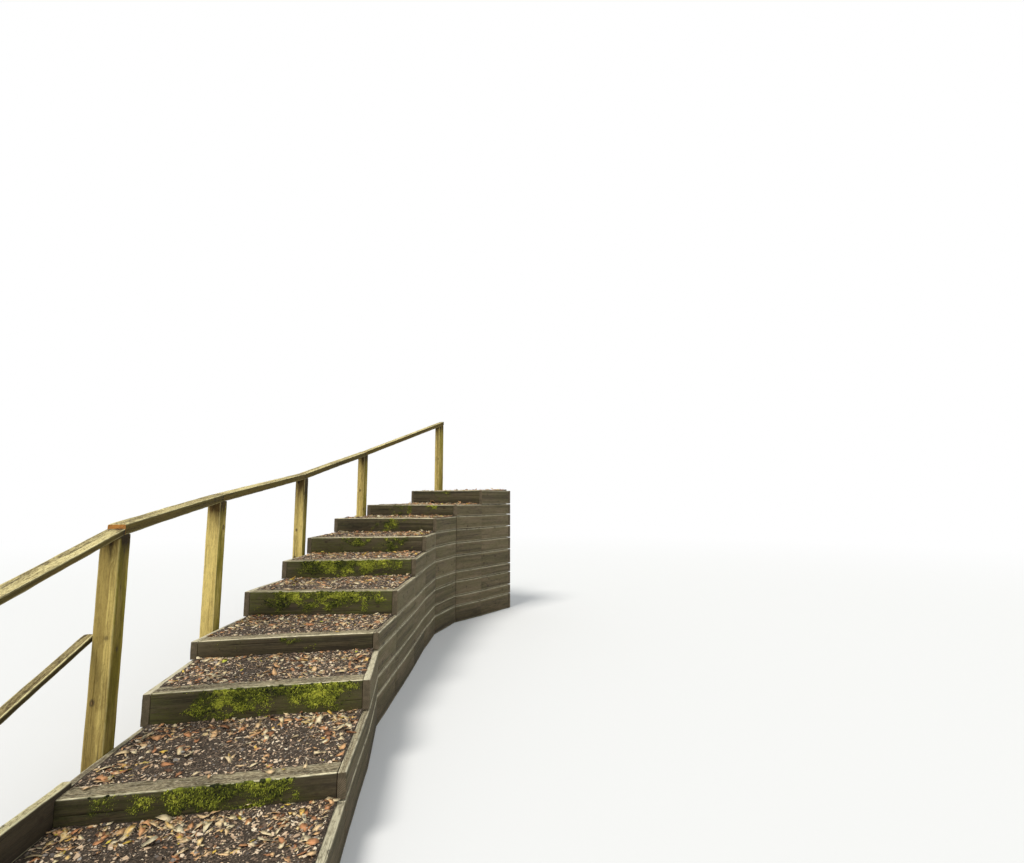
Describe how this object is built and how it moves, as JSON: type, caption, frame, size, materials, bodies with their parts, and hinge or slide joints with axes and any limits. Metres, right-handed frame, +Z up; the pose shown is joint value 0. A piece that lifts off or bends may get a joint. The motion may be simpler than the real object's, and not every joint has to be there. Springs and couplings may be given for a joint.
{
  "type": "timber steps with handrail",
  "caption": "Woodland flight of timber-riser steps with gravel treads, boarded flanks and a post-and-rail handrail on the left, bending right at the top.",
  "frame": {"origin": "on the ground, under the middle of the lowest riser sleeper", "axes": "+Z up, +Y uphill along the flight, +X to the right looking uphill"},
  "size_m": [2.4826, 8.6497, 3.1003],
  "materials": {
    "sleeper_timber": "weathered, rough",
    "compacted_gravel": "loose gravel and leaf litter",
    "side_board_timber": "weathered, rough",
    "post_timber": "sawn, weathered",
    "rail_timber": "sawn, sun-bleached"
  },
  "bodies": {
    "root": {"riser_01": "sleeper_timber", "riser_02": "sleeper_timber", "riser_03": "sleeper_timber", "riser_04": "sleeper_timber", "riser_05": "sleeper_timber", "riser_06": "sleeper_timber", "riser_07": "sleeper_timber", "riser_08": "sleeper_timber", "riser_09": "sleeper_timber", "riser_10": "sleeper_timber", "tread_01": "compacted_gravel", "tread_02": "compacted_gravel", "tread_03": "compacted_gravel", "tread_04": "compacted_gravel", "tread_05": "compacted_gravel", "tread_06": "compacted_gravel", "tread_07": "compacted_gravel", "tread_08": "compacted_gravel", "tread_09": "compacted_gravel", "tread_10": "compacted_gravel", "sides_01": "side_board_timber", "sides_02": "side_board_timber", "sides_03": "side_board_timber", "sides_04": "side_board_timber", "sides_05": "side_board_timber", "sides_06": "side_board_timber", "sides_07": "side_board_timber", "sides_08": "side_board_timber", "sides_09": "side_board_timber", "sides_10": "side_board_timber", "kerb_board": "side_board_timber", "back_boards": "side_board_timber", "post_01": "post_timber", "post_02": "post_timber", "post_03": "post_timber", "post_04": "post_timber", "post_05": "post_timber", "post_06": "post_timber", "rail_01": "rail_timber", "rail_02": "rail_timber", "rail_03": "rail_timber", "rail_04": "rail_timber", "rail_05": "rail_timber", "knee_rail": "rail_timber"}
  },
  "joints": []
}
